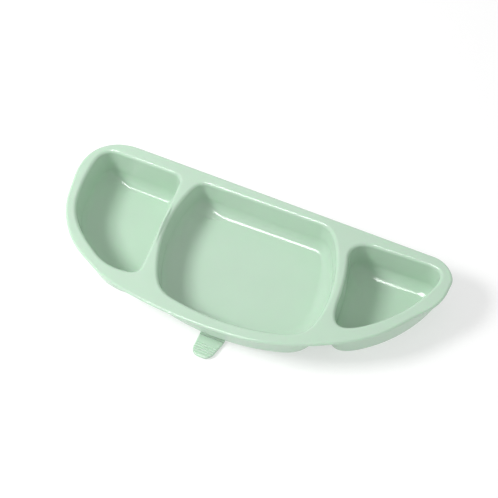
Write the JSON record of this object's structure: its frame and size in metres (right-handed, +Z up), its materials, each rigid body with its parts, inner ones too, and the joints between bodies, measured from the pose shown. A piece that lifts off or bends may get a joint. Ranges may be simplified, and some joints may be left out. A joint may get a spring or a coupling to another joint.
{
  "type": "suction bowl",
  "caption": "Divided silicone suction bowl for a baby, with a straight back edge, deep rounded compartments, a suction base and a ribbed pull tab that releases it.",
  "frame": {"origin": "on the table, under the middle of the whole bowl with its tab", "axes": "+X along the straight back edge towards the small tapering compartment, +Y towards the straight back edge, +Z up"},
  "size_m": [0.2691, 0.117, 0.034],
  "materials": {
    "tray_silicone": "smooth satin silicone, pale green",
    "base_silicone": "soft satin silicone, pale green",
    "tab_silicone": "ribbed satin silicone, pale green"
  },
  "bodies": {
    "bowl": {"divided_tray": "tray_silicone", "suction_base": "base_silicone"},
    "tab": {"release_tab": "tab_silicone"}
  },
  "joints": [
    {"name": "tab_hinge", "type": "hinge", "parent": "bowl", "child": "tab", "pos_m": [-0.0016, -0.043, 0.0028], "axis": [-1, 0, 0], "range_deg": [0, 70], "stiffness_Nm_per_rad": 0.01}
  ]
}
